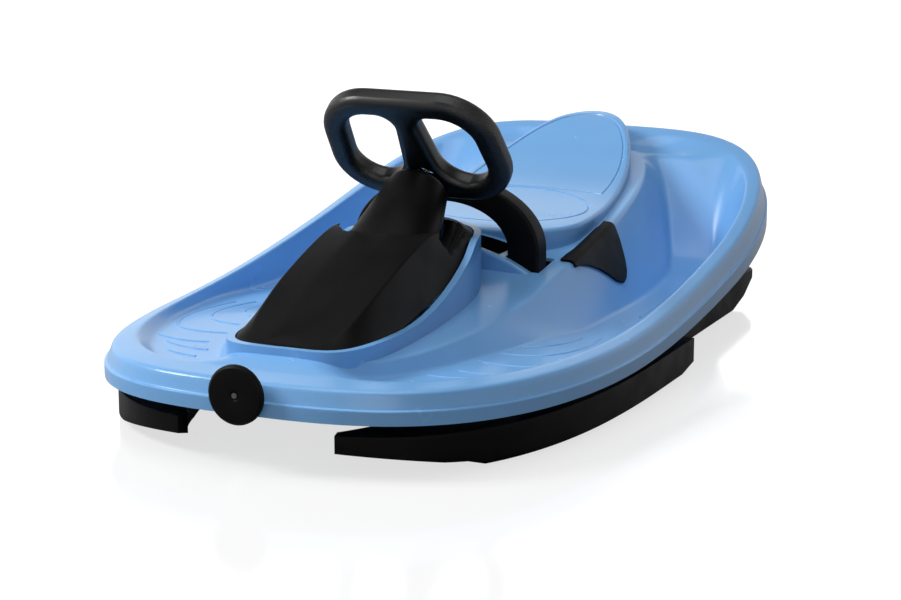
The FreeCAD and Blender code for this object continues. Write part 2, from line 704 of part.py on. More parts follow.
def make_column():
    """Shaft, bushes, collar and the crank that leads the tie bar."""
    axis = column_axis()
    shaft_bore = d.shaft_radius + d.running_gap
    revolved("steering_shaft", [
        (0, d.shaft_bottom), (d.shaft_radius, d.shaft_bottom), (d.shaft_radius, d.shaft_top),
        (d.bolt_radius + d.fit_gap, d.shaft_top), (d.bolt_radius + d.fit_gap, d.shaft_top - d.bolt_reach),
        (0, d.shaft_top - d.bolt_reach),
    ], column_placement(0))
    for label, way, end in (("upper", 1, d.tube_top), ("lower", -1, d.tube_bottom)):
        inside = end - way * d.bush_length
        outside = end + way * d.bush_flange
        revolved(f"column_bush_{label}", [
            (shaft_bore, inside), (d.bush_radius, inside), (d.bush_radius, end),
            (d.bush_flange_radius, end), (d.bush_flange_radius, outside), (shaft_bore, outside),
        ], column_placement(0))
    collar_start = d.tube_top + d.bush_flange + d.seat_gap
    bore = f"{cell('shaft_radius')} + {cell('fit_gap')}"
    tube("shaft_collar", cell("collar_radius"), bore, cell("collar_length"), column_point(collar_start), axis)
    feature("steering_crank", crank_shape())


def crank_shape():
    """A clamp hub on the shaft's lower end with a rod and a ball."""
    top = d.tube_bottom - d.bush_flange - d.seat_gap
    middle = column_point(top - d.crank_hub_length / 2)
    down = Vector(0, column_axis().z, -column_axis().y)
    hub = plain_cylinder(d.crank_hub_radius, column_point(top - d.crank_hub_length), column_axis(),
                         d.crank_hub_length)
    rod = plain_cylinder(d.crank_rod_radius, middle, down, d.crank_length)
    ball = Part.makeSphere(d.ball_radius, ball_point())
    bore = plain_cylinder(d.shaft_radius + d.fit_gap, column_point(d.shaft_bottom - 40), column_axis(), 200)
    return hub.fuse([rod, ball]).cut(bore)


def ball_point():
    """The crank ball's centre at rest."""
    top = d.tube_bottom - d.bush_flange - d.seat_gap
    down = Vector(0, column_axis().z, -column_axis().y)
    return column_point(top - d.crank_hub_length / 2) + down * d.crank_length


def make_fairing():
    """The hollow fairing round the column, oval below and round under the wheel."""
    def loft(inset, start, end):
        low = ellipse_wire(d.fairing_half_width - inset, d.fairing_half_depth - inset)
        low.translate(Z_AXIS * start)
        high = ellipse_wire(d.fairing_top_radius - inset, d.fairing_top_radius - inset - 0.01)
        high.translate(Z_AXIS * end)
        return Part.makeLoft([low, high], True, True)

    outer = loft(0, d.fairing_bottom, d.fairing_top)
    rims = [e for e in outer.Edges if e.BoundBox.ZMin > d.fairing_top - 1]
    outer = outer.makeFillet(d.fairing_edge, rims)
    inner = loft(d.fairing_wall, d.fairing_bottom - 0.01, d.fairing_top - d.fairing_plate)
    bore = plain_cylinder(d.shaft_radius + d.fit_gap, Vector(0, 0, d.fairing_bottom), Z_AXIS, 300)
    feature("column_fairing", outer.cut(inner).cut(bore), column_placement(0))


def make_wheel():
    """A rounded ring with one middle spoke that widens into the hub."""
    half_width = d.wheel_half_width - d.wheel_tube
    half_height = d.wheel_half_height - d.wheel_tube
    top = -d.wheel_centre_up - half_height
    foot = -d.wheel_centre_up + half_height
    out = d.wheel_centre_out
    corners = [
        Vector(-half_width + d.wheel_taper, top, out), Vector(half_width - d.wheel_taper, top, out),
        Vector(half_width, foot, out), Vector(-half_width, foot, out),
    ]
    radii = [d.wheel_top_corner, d.wheel_top_corner, d.wheel_foot_corner, d.wheel_foot_corner]
    path = rounded_outline(corners, radii)
    start = path.Edges[0].valueAt(path.Edges[0].FirstParameter)
    along = path.Edges[0].tangentAt(path.Edges[0].FirstParameter)
    ring = path.makePipeShell([Part.Wire(Part.makeCircle(d.wheel_tube, start, along))], True, True)
    spoke_back = out - d.spoke_depth / 2
    flare = mix(top, foot, d.spoke_flare)
    spoke = polygon_prism([
        Vector(-d.spoke_width / 2, top, spoke_back), Vector(d.spoke_width / 2, top, spoke_back),
        Vector(d.spoke_width / 2, flare, spoke_back), Vector(d.spoke_foot / 2, foot, spoke_back),
        Vector(-d.spoke_foot / 2, foot, spoke_back), Vector(-d.spoke_width / 2, flare, spoke_back),
    ], Z_AXIS * d.spoke_depth)
    hub = plain_cylinder(d.hub_radius, Vector(0, 0, d.fairing_top), Z_AXIS, d.hub_top - d.fairing_top)
    shaft = plain_cylinder(d.shaft_radius + d.fit_gap, Vector(0, 0, d.fairing_top - 1), Z_AXIS,
                           d.shaft_top - d.fairing_top + 1)
    bolt = plain_cylinder(d.bolt_radius + d.fit_gap, Vector(), Z_AXIS, d.hub_top + 20)
    head = plain_cylinder(d.bolt_head_radius + d.seat_gap, Vector(0, 0, d.hub_top), Z_AXIS, d.wheel_tube)
    shape = ring.fuse([spoke, hub]).cut(shaft).cut(bolt).cut(head)
    feature("steering_wheel", shape.removeSplitter(), column_placement(0))
    bolt_end = d.shaft_top - d.bolt_reach + d.seat_gap
    revolved("wheel_bolt", [
        (0, bolt_end), (d.bolt_radius, bolt_end), (d.bolt_radius, d.hub_top), (d.bolt_head_radius, d.hub_top),
        (d.bolt_head_radius, d.hub_top + d.bolt_head * 0.6),
        (d.bolt_head_radius * 0.8, d.hub_top + d.bolt_head), (0, d.hub_top + d.bolt_head),
    ], column_placement(0))


def ski_ring_angle(x, half, power):
    return math.asin((x / half) ** (power / 2))


def ski_outline(side, inset):
    """A ski's plan: the outer edge runs along under the hull, the inner edge curves to the tip."""
    outer = (d.ski_half_width - inset, d.ski_front + inset, d.hull_rear, 0, d.outline_front_power,
             d.outline_rear_power)
    inner = (d.ski_inner_half_width + inset, d.ski_inner_front, d.hull_rear, 0, 2, 2)
    first = ski_ring_angle(d.ski_tip_x + inset, outer[0], outer[4])
    inner_first = ski_ring_angle(d.ski_inner_tip_x + inset, inner[0], 2)
    outer_last = math.acos(-((d.ski_rear / d.hull_rear) ** (outer[5] / 2)))
    inner_last = math.acos(-(d.ski_rear / d.hull_rear))
    curves = []
    for ring, start, end in ((outer, first, outer_last), (inner, inner_first, inner_last)):
        angles = [mix(start, end, (i / 8) ** 1.4) for i in range(9)]
        points = [superellipse(angle, *ring) for angle in angles]
        curve = Part.BSplineCurve()
        curve.interpolate([Vector(side * x, y, 0) for x, y in points])
        curves.append(curve)
    tip = Part.LineSegment(curves[1].StartPoint, curves[0].StartPoint)
    tail = Part.LineSegment(curves[0].EndPoint, curves[1].EndPoint)
    return Part.Wire([edge.toShape() for edge in (tip, curves[0], tail, curves[1])])


def side_prism(profile):
    """A side view outline of (y, z) corners, swept across the whole sled."""
    reach = d.hull_half_width + 40
    return polygon_prism([Vector(-reach, y, z) for y, z in profile], X_AXIS * 2 * reach)


def ski_profile():
    """A ski in side view: turned up at the tip and a little at the tail."""
    middle = mix(d.ski_rise_y, d.ski_front, 0.5)
    rise = d.ski_tip_bottom - d.sole_height
    front = d.ski_front - 30
    rear = d.ski_rear + 10
    return [
        (front, d.ski_tip_bottom + rise * 0.3), (middle, d.sole_height + rise * 0.3),
        (d.ski_rise_y, d.sole_height), (d.ski_rear - d.ski_tail_rise, d.sole_height),
        (rear, d.ski_tail_bottom), (rear, d.ski_height), (front, d.ski_height),
    ]


def sole_screw_points(side):
    """Screws along the middle of the sole, as (head seat, length)."""
    seat_z = d.sole_screw_head_z + d.screw_head
    stations = [mix(d.sole_front, d.sole_rear, share) for share in (0.1, 0.45, 0.7, 0.95)]
    places = []
    for y in stations:
        outer = superellipse_x(y, d.ski_half_width, d.ski_front, d.outline_front_power)
        inner = superellipse_x(y, d.ski_inner_half_width, d.ski_inner_front, 2)
        places.append((Vector(side * (outer + inner) / 2, y, seat_z), d.sole_screw_top - seat_z))
    return places


def superellipse_x(y, half, front, power):
    """Half-width of a ring at a place ahead of its widest station."""
    share = min(y / front, 1) if y < 0 else 0
    return half * (1 - share ** power) ** (1 / power)


def make_ski(name, side):
    """A steered ski with its sole, bush, arm pin and sole screws."""
    hub_top = d.boss_bottom - d.washer - d.seat_gap
    head_top = d.kingpin_head_z + d.kingpin_head + d.seat_gap
    well = plain_cylinder(d.kingpin_head_radius + 1, kingpin_point(side, -1), Z_AXIS, head_top + 1)
    feature(f"ski_{name}", ski_shape(side, well, hub_top))
    feature(f"ski_sole_{name}", sole_shape(side).cut(well))
    screw_group(f"sole_screws_{name}", sole_screw_points(side))
    bush_bottom = head_top + d.seat_gap
    revolved(f"ski_bush_{name}", [
        (d.kingpin_radius + d.running_gap, bush_bottom), (d.ski_bush_radius, bush_bottom),
        (d.ski_bush_radius, hub_top), (d.kingpin_radius + d.running_gap, hub_top),
    ], Placement(kingpin_point(side, 0), Rotation()))
    pin_bottom = d.arm_boss_top - d.tie_pin_depth + d.seat_gap
    bar_top = d.arm_boss_top + 2 * d.seat_gap + d.tie_bar_height
    head_top = bar_top + d.tie_pin_head
    revolved(f"tie_pin_{name}", [
        (0, pin_bottom), (d.tie_pin_radius, pin_bottom), (d.tie_pin_radius, bar_top),
        (d.tie_pin_head_radius, bar_top), (d.tie_pin_head_radius, head_top), (0, head_top),
    ], Placement(ski_pin_point(side, 0), Rotation()))


def ski_shape(side, well, hub_top):
    """The ski itself with its pivot hub, its arm boss and their bores."""
    body = Part.Face(ski_outline(side, 0)).extrude(Z_AXIS * d.ski_height).common(side_prism(ski_profile()))
    sunk = d.ski_height - d.boss_sink
    pin_bottom = d.arm_boss_top - d.tie_pin_depth
    body = body.fuse([
        plain_cylinder(d.ski_hub_radius, kingpin_point(side, sunk), Z_AXIS, hub_top - sunk),
        plain_cylinder(d.arm_boss_radius, ski_pin_point(side, sunk), Z_AXIS, d.arm_boss_top - sunk),
    ])
    bores = [
        well,
        plain_cylinder(d.ski_bush_radius + d.fit_gap, kingpin_point(side, 0), Z_AXIS, hub_top + 1),
        plain_cylinder(d.tie_pin_radius + d.fit_gap, ski_pin_point(side, pin_bottom), Z_AXIS,
                       d.tie_pin_depth + 1),
    ]
    for solid in bores + screw_holes(sole_screw_points(side)):
        body = body.cut(solid)
    return body


def sole_shape(side):
    """The lower sole, bevelled at both ends, with a recess for each screw head."""
    bevel = 2 * d.sole_height
    sole = Part.Face(ski_outline(side, d.sole_inset)).extrude(Z_AXIS * d.sole_height)
    sole = sole.common(side_prism([
        (d.sole_front, d.sole_height), (d.sole_front + bevel, 0), (d.sole_rear - bevel, 0),
        (d.sole_rear, d.sole_height),
    ]))
    for point, length in sole_screw_points(side):
        recess = plain_cylinder(d.screw_head_radius + d.seat_gap, Vector(point.x, point.y, -1), Z_AXIS,
                                point.z + 1)
        sole = sole.cut(recess)
    for solid in screw_holes(sole_screw_points(side)):
        sole = sole.cut(solid)
    return sole


def make_kingpin(name, side):
    """What holds a ski to the hull: shoulder bolt, threaded insert and thrust washer."""
    seat_z = d.kingpin_head_z + d.kingpin_head
    revolved(f"kingpin_{name}", [
        (0, d.kingpin_head_z), (d.kingpin_head_radius, d.kingpin_head_z), (d.kingpin_head_radius, seat_z),
        (d.kingpin_radius, seat_z), (d.kingpin_radius, d.kingpin_top), (0, d.kingpin_top),
    ], Placement(kingpin_point(side, 0), Rotation()))
    bore = f"{cell('kingpin_radius')} + {cell('fit_gap')}"
    insert_length = f"{cell('insert_top')} - {cell('insert_bottom')}"
    tube(f"kingpin_insert_{name}", cell("insert_radius"), bore, insert_length,
         kingpin_point(side, d.insert_bottom))
    tube(f"thrust_washer_{name}", cell("washer_radius"), bore, cell("washer"),
         kingpin_point(side, d.boss_bottom - d.washer))


def make_tie_bar():
    """A flat bar between the ski arms with an upright fork round the crank ball."""
    bottom = d.arm_boss_top + d.seat_gap
    pin_y = d.kingpin_y + d.ski_arm
    half = d.tie_bar_width / 2
    bar = Part.makeBox(2 * d.kingpin_x, d.tie_bar_width, d.tie_bar_height,
                       Vector(-d.kingpin_x, pin_y - half, bottom))
    fork_front = ball_point().y - d.fork_depth / 2
    fork_reach = d.ball_radius + d.fork_gap + d.fork_wall
    parts = [Part.makeBox(2 * fork_reach, pin_y - fork_front, d.tie_bar_height,
                          Vector(-fork_reach, fork_front, bottom))]
    for side in SIDES.values():
        parts.append(plain_cylinder(half, ski_pin_point(side, bottom), Z_AXIS, d.tie_bar_height))
        inner = d.ball_radius + d.fork_gap
        low_x = inner if side > 0 else -inner - d.fork_wall
        corner = Vector(low_x, fork_front, bottom)
        parts.append(Part.makeBox(d.fork_wall, d.fork_depth, d.tie_bar_height + d.fork_height, corner))
    bar = bar.fuse(parts)
    for side, gap in ((1, d.running_gap), (-1, d.open_pivot_gap)):
        hole = plain_cylinder(d.tie_pin_radius + gap, ski_pin_point(side, bottom - 1), Z_AXIS,
                              d.tie_bar_height + 2)
        bar = bar.cut(hole)
    feature("tie_bar", bar.removeSplitter())


def make_runner(name, side):
    """A fixed rear runner under the hull's floor."""
    top = d.floor_height - d.hull_wall - d.seat_gap
    profile = [
        (d.runner_front, d.runner_front_lift), (d.runner_flat_front, 0), (d.runner_flat_rear, 0),
        (mix(d.runner_flat_rear, d.runner_rear, 0.55), d.runner_rear_lift * 0.35),
        (d.runner_rear, d.runner_rear_lift), (d.runner_rear, d.runner_tail_height), (d.runner_top_rear, top),
        (d.runner_front, top),
    ]
    low_x = side * d.runner_x - d.runner_width / 2
    shape = polygon_prism([Vector(low_x, y, z) for y, z in profile], X_AXIS * d.runner_width)
    corners = [e for e in shape.Edges if abs(e.tangentAt(e.FirstParameter).x) < 0.5]
    shape = shape.makeFillet(d.runner_edge, corners)
    places = [place for place in runner_screw_points() if place[0].x * side > 0]
    for point, length in places:
        well = plain_cylinder(d.screw_head_radius + 1, Vector(point.x, point.y, -1), Z_AXIS, point.z + 1)
        shape = shape.cut(well)
    for solid in screw_holes(places):
        shape = shape.cut(solid)
    feature(f"rear_runner_{name}", shape)


def bail_arch(half, top):
    """Half an ellipse over the bail's springing line."""
    middle = Vector(0, 0, d.bail_spring_z)
    across = Vector(half, 0, d.bail_spring_z)
    above = Vector(0, 0, top)
    wide = half > top - d.bail_spring_z
    oval = Part.Ellipse(across, above, middle) if wide else Part.Ellipse(above, across, middle)
    return Part.ArcOfEllipse(oval, 0, math.pi).toShape()


def bail_shape():
    """An arch with straight legs, a round outside and a flatter inside."""
    edges = [
        bail_arch(d.bail_half_width, d.bail_top),
        bail_arch(d.bail_inner_half_width, d.bail_inner_top),
    ]
    for side in SIDES.values():
        outside = side * d.bail_half_width
        inside = side * d.bail_inner_half_width
        corners = [
            Vector(outside, 0, d.bail_spring_z), Vector(outside, 0, d.bail_foot),
            Vector(inside, 0, d.bail_foot), Vector(inside, 0, d.bail_spring_z),
        ]
        edges += [Part.LineSegment(a, b).toShape() for a, b in zip(corners, corners[1:])]
    wire = Part.Wire(Part.__sortEdges__(edges))
    shape = Part.Face(wire).extrude(Y_AXIS * d.bail_depth)
    shape.translate(Y_AXIS * d.bail_front)
    rims = [e for e in shape.Edges if abs(e.BoundBox.YLength) < 0.01]
    return shape.makeFillet(d.bail_edge, rims)


def make_brake():
    """Bail, axle and claws that turn together, and the blocks that carry them."""
    middle = Vector(0, d.brake_y, d.brake_z)
    axle_start = middle - X_AXIS * d.brake_half_span
    span = 2 * d.brake_half_span
    axle_hole = plain_cylinder(d.brake_axle_radius + d.fit_gap, axle_start, X_AXIS, span)
    running_hole = plain_cylinder(d.brake_axle_radius + d.running_gap, axle_start, X_AXIS, span)
    feature("brake_bail", bail_shape().cut(axle_hole))
    axle_length = f"2 * {cell('brake_half_span')} - 2 * {cell('seat_gap')}"
    axle = bound_cylinder("brake_axle", cell("brake_axle_radius"), axle_length,
                          axle_start + X_AXIS * d.seat_gap, X_AXIS)
    keep(axle, "brake_axle")
    clip_bore = f"{cell('brake_axle_radius')} + {cell('fit_gap')}"
    clip_x = d.claw_x + d.claw_thick + d.seat_gap
    for name, side in SIDES.items():
        claw_start = middle + X_AXIS * (d.claw_x if side > 0 else -d.claw_x - d.claw_thick)
        feature(f"brake_claw_{name}", claw_shape(claw_start).cut(axle_hole))
        block = block_box(side, d.block_bottom, d.block_top).cut(running_hole)
        for solid in screw_holes(block_screw_points()):
            block = block.cut(solid)
        feature(f"axle_block_{name}", block)
        clip_start = middle + X_AXIS * (clip_x if side > 0 else -clip_x - d.clip_thick)
        tube(f"axle_clip_{name}", cell("clip_radius"), clip_bore, cell("clip_thick"), clip_start, X_AXIS)
    screw_group("axle_block_screws", block_screw_points())
    spring_bore = f"{cell('brake_axle_radius')} + {cell('running_gap')}"
    tube("return_spring", cell("spring_radius"), spring_bore, cell("spring_length"),
         middle + X_AXIS * d.spring_x, X_AXIS)


def claw_shape(start):
    """A flat claw: a hub on the axle and an arm back and down to a narrow tip."""
    reach = Vector(0, d.claw_back, -d.claw_down)
    across = reach.cross(X_AXIS).normalize()
    arm = polygon_prism([
        start + across * d.claw_width / 2, start + reach + across * d.claw_tip_width / 2,
        start + reach - across * d.claw_tip_width / 2, start - across * d.claw_width / 2,
    ], X_AXIS * d.claw_thick)
    return arm.fuse(plain_cylinder(d.claw_hub_radius, start, X_AXIS, d.claw_thick)).removeSplitter()


def make_pull():
    """Pull knob with its stem and mark, the guide in the nose, and the reel behind it."""
    nose = Placement(Vector(0, d.knob_face_y - d.knob_gap, d.knob_z), turned(-Y_AXIS))
    revolved("pull_knob", [
        (0, -d.knob_stem), (d.knob_stem_radius, -d.knob_stem), (d.knob_stem_radius, 0), (d.knob_radius - 3, 0),
        (d.knob_radius, 2.5), (d.knob_radius, d.knob_thick - 3), (d.knob_radius - 3, d.knob_thick),
        (d.mark_radius * 2, d.knob_thick), (d.mark_radius * 2 - 1, d.knob_thick - d.mark_height),
        (0, d.knob_thick - d.mark_height),
    ], nose)
    mark_base = Vector(0, nose.Base.y - d.knob_thick + d.mark_height, d.knob_z)
    mark = bound_cylinder("knob_mark", cell("mark_radius"), cell("mark_height"), mark_base, -Y_AXIS)
    keep(mark, "knob_mark")
    guide_bore = f"{cell('knob_stem_radius')} + {cell('running_gap')}"
    guide_length = f"{cell('guide_rear')} - {cell('knob_face_y')}"
    tube("cord_guide", cell("guide_radius"), guide_bore, guide_length,
         Vector(0, d.knob_face_y, d.knob_z), Y_AXIS)
    make_reel()


def make_reel():
    """Reel case, lid, spindle and drum under the front deck."""
    place = Placement(Vector(0, d.reel_y, d.reel_bottom), Rotation())
    bore = d.spindle_radius + d.fit_gap
    inside = d.reel_radius - d.reel_wall
    revolved("reel_case", [
        (bore, 0), (d.reel_radius, 0), (d.reel_radius, d.reel_height), (inside, d.reel_height),
        (inside, d.reel_wall), (bore, d.reel_wall),
    ], place)
    low = d.reel_wall + d.drum_gap
    high = d.reel_height - d.drum_gap
    turning = d.spindle_radius + d.running_gap
    revolved("reel_drum", [
        (turning, low), (d.drum_flange_radius, low), (d.drum_flange_radius, low + d.drum_flange),
        (d.drum_radius, low + d.drum_flange), (d.drum_radius, high - d.drum_flange),
        (d.drum_flange_radius, high - d.drum_flange), (d.drum_flange_radius, high), (turning, high),
    ], place)
    spindle = bound_cylinder("reel_spindle", cell("spindle_radius"), cell("reel_height"), place.Base)
    keep(spindle, "reel_spindle")
    lid = plain_cylinder(d.reel_radius, place.Base + Z_AXIS * d.reel_height, Z_AXIS, d.lid_height)
    ear_reach = d.post_x + d.post_radius
    ears = Part.makeBox(2 * ear_reach, 2 * d.post_radius, d.lid_height,
                        place.Base + Vector(-ear_reach, -d.post_radius, d.reel_height))
    lid = lid.fuse(ears).removeSplitter()
    for solid in screw_holes(reel_screw_points()):
        lid = lid.cut(solid)
    feature("reel_lid", lid)


def skin_point(surface, v, y):
    """The point of the hull's skin on one lengthwise line at a given y."""
    low, high = surface.bounds()[:2]
    for _ in range(30):
        middle = (low + high) / 2
        if surface.value(middle, v).y < y:
            low = middle
        else:
            high = middle
    return surface.value(low, v)


def grip_low_z(y):
    """The shield's lower edge: hollow down to a round tip, then steeply up again."""
    share = (y - d.grip_front) / (d.grip_rear - d.grip_front)
    if share < d.grip_tip_share:
        depth = (share / d.grip_tip_share) ** 1.5
    else:
        depth = math.sqrt(1 - ((share - d.grip_tip_share) / (1 - d.grip_tip_share)) ** 2)
    return mix(ledge_height(y) - d.grip_lap, d.grip_tip_z, depth)


def grip_section(surface, y):
    """A closed outline at one station, along the tunnel's side and over the ledge's edge."""
    raw = [skin_point(surface, mix(LEDGE_LINE - 4.5, LEDGE_LINE + 2.5, i / 140), y) for i in range(141)]
    line = [p for p in raw if p.z > grip_low_z(y) and p.x > d.grip_inner_x]
    last = len(line) - 1
    under, over = [], []
    for i in range(GRIP_POINTS):
        at = round(last * i / (GRIP_POINTS - 1))
        run = line[min(at + 2, last)] - line[max(at - 2, 0)]
        normal = Vector(run.z, 0, -run.x).normalize()
        base = Vector(line[at].x, y, line[at].z)
        under.append(base + normal * d.grip_gap)
        over.append(base + normal * (d.grip_gap + d.grip_thick))
    ring = under + over[::-1]
    return Part.makePolygon(ring + ring[:1])


def make_grips():
    """Shield shaped grips that wrap over the ledge's edge on both sides."""
    surface = net_surface(hull_net())
    shares = [math.sin(math.pi / 2 * i / GRIP_STATIONS) for i in range(GRIP_STATIONS + 1)]
    stations = [mix(d.grip_front, d.grip_rear, share) for share in shares]
    left = Part.makeLoft([grip_section(surface, y) for y in stations], True, True)
    for name, side in SIDES.items():
        feature(f"side_grip_{name}", left if side > 0 else left.mirror(Vector(), X_AXIS))


def check_pieces():
    """Stop before anything is written if an object failed or a shape is empty or broken."""
    for obj in doc.Objects:
        if "Invalid" in obj.State or "Error" in obj.State:
            raise RuntimeError(f"{obj.Label} did not recompute: {obj.State}")
    for piece in pieces:
        if piece.Shape.isNull() or not piece.Shape.isValid():
            raise RuntimeError(f"{piece.Label} has no valid shape")


def build():
    feature("hull_shell", hull_shape())
    make_cover()
    make_column()
    make_fairing()
    make_wheel()
    make_tie_bar()
    make_brake()
    make_pull()
    make_grips()
    for name, side in SIDES.items():
        make_ski(name, side)
        make_kingpin(name, side)
        make_runner(name, side)
    screw_group("runner_screws", runner_screw_points())
    screw_group("reel_screws", reel_screw_points())
    doc.recompute()


build()
check_pieces()
os.makedirs("parts", exist_ok=True)
for piece in pieces:
    piece.Shape.exportStep(f"parts/{piece.Label}.step")
    print(piece.Label, len(piece.Shape.Solids), round(piece.Shape.Volume / 1000, 1), "cm3")
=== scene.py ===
"""Steering sled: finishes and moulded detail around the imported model, with floor, light and camera.

Metres, in the model's own frame: the nose points along -Y, +X is the rider's left and +Z is up.
"""
import json
import math

import bmesh
import bpy
from mathutils import Matrix, Vector


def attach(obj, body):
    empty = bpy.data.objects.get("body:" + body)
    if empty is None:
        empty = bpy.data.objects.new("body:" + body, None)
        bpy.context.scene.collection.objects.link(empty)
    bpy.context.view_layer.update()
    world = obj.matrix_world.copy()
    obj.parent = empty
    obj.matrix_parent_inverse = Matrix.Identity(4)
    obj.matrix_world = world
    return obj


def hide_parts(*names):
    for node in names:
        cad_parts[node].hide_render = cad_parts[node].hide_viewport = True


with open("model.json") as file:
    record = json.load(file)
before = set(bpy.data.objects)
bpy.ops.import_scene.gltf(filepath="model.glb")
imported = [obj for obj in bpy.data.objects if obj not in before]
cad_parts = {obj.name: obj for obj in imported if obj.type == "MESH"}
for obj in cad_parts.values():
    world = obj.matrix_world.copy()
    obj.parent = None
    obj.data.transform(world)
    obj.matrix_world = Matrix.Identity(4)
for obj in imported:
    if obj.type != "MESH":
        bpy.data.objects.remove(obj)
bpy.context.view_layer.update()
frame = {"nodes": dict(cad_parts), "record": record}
nodes = frame["nodes"]
bodies = frame["record"]["behaviour"]["bodies"]
body_of_node = {node: body for body, members in bodies.items() for node in members}
slot_of_node = {part["node"]: part["material_slot"] for part in frame["record"]["subparts"]}

MM = 0.001
MERGE_DISTANCE = 0.01 * MM
CYLINDER_SIDES = 96

# Column frame of the wheel: X across the sled, Y down the wheel's face, Z along the column
COLUMN_ANGLE = 38
COLUMN_Y = -87
COLUMN_Z = 243
COLUMN_FRAME = (Matrix.Translation((0, COLUMN_Y * MM, COLUMN_Z * MM))
                @ Matrix.Rotation(-math.radians(90 - COLUMN_ANGLE), 4, "X"))

# Steering wheel, millimetres in the column frame
WHEEL_HALF_WIDTH = 121
WHEEL_TOP = -131.5
WHEEL_FOOT = 36.5
WHEEL_TAPER = 10
WHEEL_THICK = 29
WHEEL_OUT = 12
WHEEL_ROUNDING = 11
WHEEL_TOP_CORNER = 68
WHEEL_FOOT_CORNER = 62
SPOKE_TOP_HALF = 13
SPOKE_TOP_FILLET = 20
SPOKE_FOOT_HALF = 26
SPOKE_FOOT_FILLET = 38
HUB_RADIUS = 21.9
HUB_FOOT = -20
HUB_FACE = 22.9
HUB_HOLE_RADIUS = 20
HUB_HOLE_FOOT = -10
HUB_HOLE_TOP = 40

# Opening of the cover round the fairing, millimetres in the column frame
COVER_HOLE_HALF_WIDTH = 74
COVER_HOLE_HALF_DEPTH = 55
COVER_HOLE_TOLERANCE = 0.005
COVER_LEAST_WALL = 1.5
COVER_FUNNEL = 45

# Room of the pocket under the bail, and the thickness of the black sheet that paints shade into it,
# millimetres
POCKET_LOW = (-76.3, -31.3, 115)
POCKET_HIGH = (76.3, 22.3, 158)
POCKET_SHADE_THICK = 0.8

# Black screens behind the slots of the bail's legs, painted shade in place of the dark hollow under the
# hull, millimetres
SCREEN_MIDDLE = (104, 31.5, 111)
SCREEN_SIZE = (44, 3, 38)
SCREEN_EDGE = 0.8

# Moulded grooves and ribs of the hull, millimetres in plan
GROOVE_RADIUS = 2.2
GROOVE_LIFT = 0.6
RIB_RADIUS = 2.2
RIB_SINK = 0.9
RIB_FLATTEST = 0.97
SEAT_PAD = {"middle": 163, "half_width": 114, "half_length": 90}
BACK_PAD = {"half_width": 103, "foot": 250, "top": 486, "bow": 8, "power": 1.9}
FOOT_RIPPLES = [
    ((159, -196), (205, -172), (212, -98)),
    ((170, -238), (232, -205), (234, -92)),
    ((160, -284), (246, -262), (252, -112)),
    ((160, -336), (195, -341), (232, -328)),
    ((140, -373), (172, -371), (204, -355)),
    ((135, -409), (158, -404), (180, -393)),
]
HEEL_LINE = ((231, 55), (219, 205), (206, 350))
DROP_HEIGHT = 500

# Strip at the seat's rear foot, millimetres
STRIP_HALF_WIDTH = 60
STRIP_STEPS = 20
STRIP_BEHIND = 530
STRIP_TOP = 228
STRIP_CLEAR = 4
STRIP_INSET = 1.3
STRIP_SINK = 3
STRIP_THICK = 2

# Camera of the photograph
CAMERA_PLACE = Vector((1.2233, -2.6894, 0.7535))
CAMERA_AIM = Vector((0.0025, -0.0136, 0.0759))
IMAGE_WIDTH_PX = 901
FOCAL_PX = 2400
SENSOR_MM = 36

# Bevels of the other nodes' edges, millimetres and degrees
BEVEL_ANGLE = 40
SOFT_EDGES = {"ski": 3, "ski_sole": 1, "rear_runner": 3, "pull_knob": 1.5, "side_grip": 0.8}
MODELLED = ("hull_shell", "steering_wheel", "console_cover")

# Studio, metres and watts
BLACK = (0, 0, 0, 1)
WHITE = (1, 1, 1, 1)
WORLD_LIGHT = 0.28
WORLD_TINT = (0.92, 0.95, 1.0, 1)
FLOOR_SIZE = 40
FLOOR_HEIGHT = -0.0003
FLOOR_LIFT = 0.7
FLOOR_SHADES = ((0.3, 0.3, 0.3, 1), (0.32, 0.32, 0.32, 1))
BACKDROP_RADIUS = 7
BACKDROP_HEIGHT = 4
LIGHT_AIM = Vector((0, 0, 0.15))
SOFTBOXES = {
    "key_softbox": {"place": (-2.3, -1.4, 2.2), "size": 1.1, "watts": 90},
    "top_softbox": {"place": (0.0, -0.4, 3.0), "size": 2.4, "watts": 34},
    "front_softbox": {"place": (1.3, -2.9, 1.3), "size": 1.6, "watts": 12},
}


class Value:
    """A shader socket that takes part in Python expressions."""

    def __init__(self, finish, socket):
        self.finish = finish
        self.socket = socket

    def maths(self, operation, *others, clamp=False):
        settings = {"operation": operation, "use_clamp": clamp}
        return self.finish.node("ShaderNodeMath", settings, {i: v for i, v in enumerate((self, *others))})

    def __add__(self, other):
        return self.maths("ADD", other)

    def __mul__(self, other):
        return self.maths("MULTIPLY", other)

    __radd__ = __add__
    __rmul__ = __mul__

    def clamped(self):
        return self.maths("ADD", 0.0, clamp=True)


